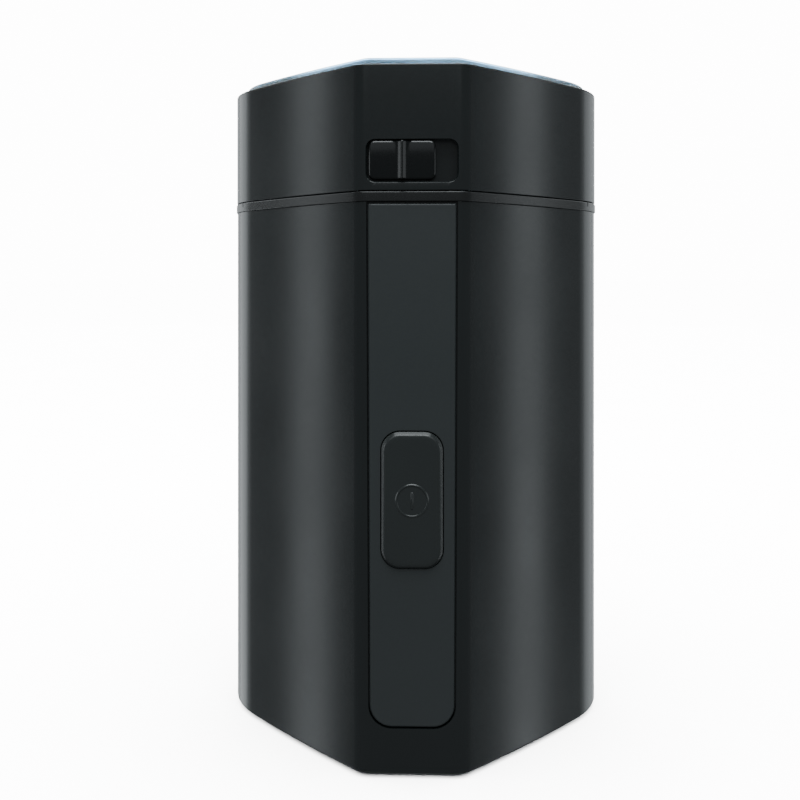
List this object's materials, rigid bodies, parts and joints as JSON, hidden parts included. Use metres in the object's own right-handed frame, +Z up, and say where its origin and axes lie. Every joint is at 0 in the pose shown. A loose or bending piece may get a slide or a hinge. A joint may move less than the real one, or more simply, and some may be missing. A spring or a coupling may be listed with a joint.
{
  "type": "electric spice grinder",
  "caption": "Upright electric spice grinder with a bulged eight-sided body, a press button on the front strip, a lift-off lid with a clear window and a sliding latch.",
  "frame": {"origin": "on the motor axis, on the surface that the feet stand on", "axes": "+Z up along the motor shaft, the start button faces -Y, the cord gland faces +Y, the latch slides to +X"},
  "size_m": [0.1014, 0.0992, 0.1711],
  "materials": {
    "housing_plastic": "satin black",
    "trim_plastic": "polished black",
    "strip_plastic": "fine satin black",
    "foot_rubber": "matt",
    "screw_steel": "zinc plated",
    "inner_plastic": "moulded",
    "bowl_steel": "polished stainless",
    "seal_silicone": "satin silicone",
    "bracket_alloy": "die cast zinc",
    "bronze": "sintered",
    "lamination_steel": "laminated",
    "copper_wire": "enamelled",
    "brush_brass": "drawn",
    "commutator_copper": "turned",
    "carbon": "pressed carbon",
    "spring_steel": "drawn wire",
    "switch_plastic": "moulded",
    "capacitor_case": "moulded",
    "shaft_steel": "ground",
    "clear_plastic": "clear moulded"
  },
  "bodies": {
    "housing": {"body_shell": "housing_plastic", "trim_ring": "trim_plastic", "control_strip": "strip_plastic", "base_plate": "housing_plastic", "rubber_feet": "foot_rubber", "base_screws": "screw_steel", "cord_gland": "foot_rubber", "bowl_carrier": "inner_plastic", "carrier_screws": "screw_steel", "grinding_bowl": "bowl_steel", "shaft_seal": "seal_silicone", "motor_dampers": "foot_rubber", "motor_screws": "screw_steel", "upper_bracket": "bracket_alloy", "lower_bracket": "bracket_alloy", "upper_bearing": "bronze", "lower_bearing": "bronze", "stator_core": "lamination_steel", "field_coils": "copper_wire", "stator_screws": "screw_steel", "brush_holders": "brush_brass", "carbon_brushes": "carbon", "brush_springs": "spring_steel", "brush_caps": "inner_plastic", "start_switch": "switch_plastic", "switch_bracket": "inner_plastic", "switch_screws": "screw_steel", "interlock_switch": "switch_plastic", "suppression_capacitor": "capacitor_case", "button_spring": "spring_steel", "interlock_spring": "spring_steel"},
    "rotor": {"armature_shaft": "shaft_steel", "armature_core": "lamination_steel", "armature_windings": "copper_wire", "commutator": "commutator_copper", "cooling_fan": "inner_plastic", "thrust_washers": "shaft_steel", "blade_hub": "inner_plastic", "blade": "bowl_steel", "blade_nut": "screw_steel"},
    "lid": {"lid_shell": "housing_plastic", "lid_window": "clear_plastic", "lid_seal": "seal_silicone", "latch_guide": "inner_plastic", "guide_screws": "screw_steel", "detent_spring": "spring_steel"},
    "latch": {"latch_slider": "strip_plastic", "latch_bolt": "shaft_steel", "latch_screw": "screw_steel"},
    "button": {"start_button": "strip_plastic"},
    "interlock": {"interlock_pin": "switch_plastic"}
  },
  "joints": [
    {"name": "lid_lift", "type": "slide", "parent": "housing", "child": "lid", "axis": [0, 0, 1], "range_m": [0, 0.06]},
    {"name": "latch_slide", "type": "slide", "parent": "lid", "child": "latch", "axis": [1, 0, 0], "range_m": [0, 0.0042]},
    {"name": "button_press", "type": "slide", "parent": "housing", "child": "button", "axis": [0, 1, 0], "range_m": [0, 0.0015], "stiffness_N_per_m": 800, "springref_m": -0.002, "deforming": ["button_spring"]},
    {"name": "interlock_push", "type": "slide", "parent": "housing", "child": "interlock", "axis": [0, 0, -1], "range_m": [0, 0.0019], "deforming": ["interlock_spring"]},
    {"name": "rotor_spin", "type": "hinge", "parent": "housing", "child": "rotor", "pos_m": [0, 0, 0.05], "axis": [0, 0, 1], "continuous": true}
  ],
  "couplings": [
    {"joint": "interlock_push", "follows": "latch_slide", "ratio": 0.45}
  ]
}
